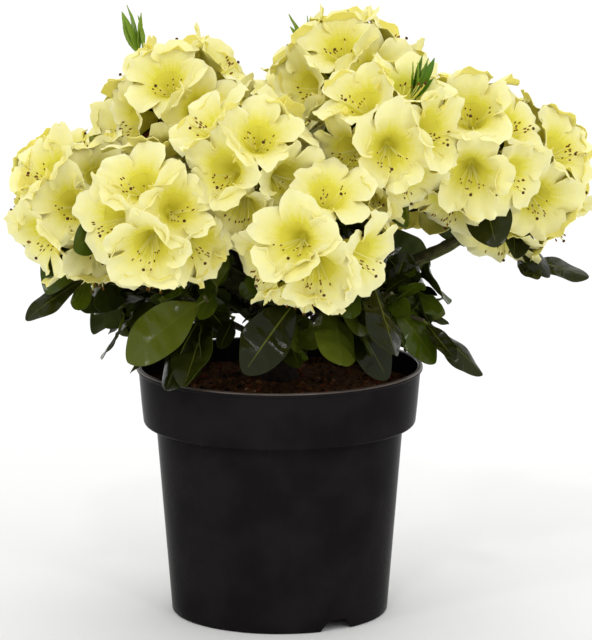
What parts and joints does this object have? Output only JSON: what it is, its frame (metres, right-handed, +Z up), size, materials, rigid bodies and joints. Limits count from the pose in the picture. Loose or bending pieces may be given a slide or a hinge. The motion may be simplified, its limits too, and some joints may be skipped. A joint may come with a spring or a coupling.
{
  "type": "potted rhododendron",
  "caption": "Compact rhododendron shrub in full flower: domed trusses of pale yellow funnel flowers over dark leathery leaves, in a black plastic nursery pot of compost",
  "frame": {"origin": "middle of the pot's flat underside", "axes": "+Z up along the pot's axis, +X to the right and -Y to the front as the picture sees the plant"},
  "size_m": [0.4694, 0.4186, 0.482],
  "materials": {
    "pot": "satin black moulded plastic",
    "soil": "moist peat and bark compost",
    "bark": "rough grey-brown bark",
    "blossom": "soft pale yellow petals",
    "foliage": "glossy dark green leaves"
  },
  "bodies": {
    "root": {"pot": "pot", "soil": "soil", "trunk": "bark", "bough_centre": "bark", "bough_left": "bark", "bough_right": "bark", "bough_lower_left": "bark", "bough_upper_left": "bark", "bough_top": "bark", "bough_centre_right": "bark", "bough_lower_centre": "bark", "bough_back_left": "bark", "bough_back": "bark", "bough_back_right": "bark", "bough_right_front": "bark", "bough_left_back": "bark", "bough_low_back": "bark", "bough_low_back_right": "bark", "truss_centre": "blossom", "truss_left": "blossom", "truss_right": "blossom", "truss_lower_left": "blossom", "truss_upper_left": "blossom", "truss_top": "blossom", "truss_centre_right": "blossom", "truss_lower_centre": "blossom", "truss_back_left": "blossom", "truss_back": "blossom", "truss_back_right": "blossom", "truss_right_front": "blossom", "truss_left_back": "blossom", "truss_low_back": "blossom", "truss_low_back_right": "blossom", "spray_front_left": "foliage", "spray_front_right": "foliage", "spray_right": "foliage", "spray_back_right": "foliage", "spray_back_left": "foliage", "spray_left": "foliage", "spray_front": "foliage"}
  },
  "joints": []
}
